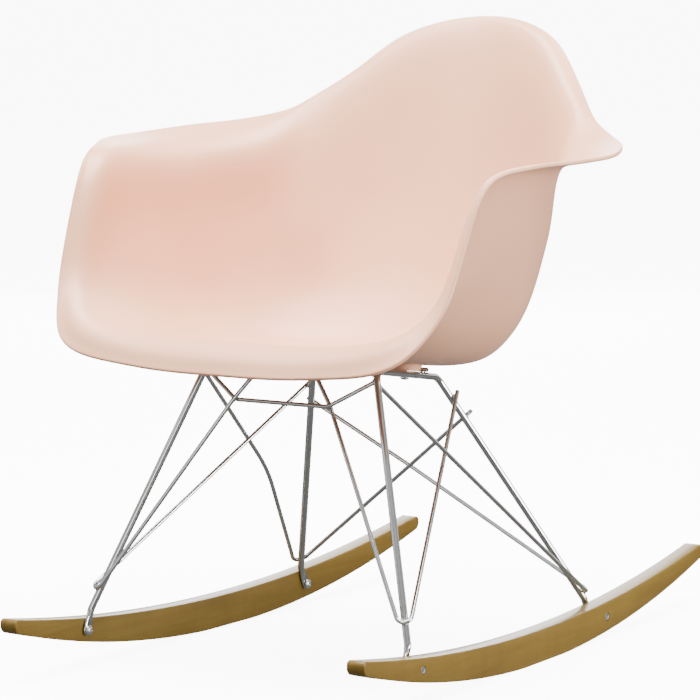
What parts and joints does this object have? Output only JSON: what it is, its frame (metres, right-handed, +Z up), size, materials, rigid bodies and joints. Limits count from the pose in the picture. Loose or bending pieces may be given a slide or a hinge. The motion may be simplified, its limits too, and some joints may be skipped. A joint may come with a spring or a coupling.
{
  "type": "rocking armchair",
  "caption": "Rocking armchair: a moulded bucket seat with arms, on a braced chrome rod frame that stands on bowed wooden rockers.",
  "frame": {"origin": "on the floor, on the middle plane, under the middle of the rockers", "axes": "+Z up, the sitter faces -Y, +X is the sitter's left"},
  "size_m": [0.6328, 0.8103, 0.7025],
  "materials": {
    "shell_plastic": "satin moulded plastic, pale rose",
    "chrome_rod": "bright chrome over round steel rod",
    "maple": "clear satin lacquer over maple, grain along the rocker",
    "steel_fastener": "zinc-plated steel screws, bolts and sleeve nuts",
    "brass_insert": "plain turned brass"
  },
  "bodies": {
    "root": {"seat_shell": "shell_plastic", "rocker_left": "maple", "leg_frame_left": "chrome_rod", "front_hairpin_left": "chrome_rod", "rear_hairpin_left": "chrome_rod", "rocker_bolt_front_left": "steel_fastener", "sleeve_nut_front_left": "steel_fastener", "rocker_bolt_rear_left": "steel_fastener", "sleeve_nut_rear_left": "steel_fastener", "rocker_right": "maple", "leg_frame_right": "chrome_rod", "front_hairpin_right": "chrome_rod", "rear_hairpin_right": "chrome_rod", "rocker_bolt_front_right": "steel_fastener", "sleeve_nut_front_right": "steel_fastener", "rocker_bolt_rear_right": "steel_fastener", "sleeve_nut_rear_right": "steel_fastener", "front_dip_rod": "chrome_rod", "front_cross_rod": "chrome_rod", "rear_cross_rod": "chrome_rod", "mount_lug_front_left": "chrome_rod", "shell_screw_front_left": "steel_fastener", "shell_insert_front_left": "brass_insert", "mount_lug_front_right": "chrome_rod", "shell_screw_front_right": "steel_fastener", "shell_insert_front_right": "brass_insert", "mount_lug_rear_left": "chrome_rod", "shell_screw_rear_left": "steel_fastener", "shell_insert_rear_left": "brass_insert", "mount_lug_rear_right": "chrome_rod", "shell_screw_rear_right": "steel_fastener", "shell_insert_rear_right": "brass_insert"}
  },
  "joints": []
}
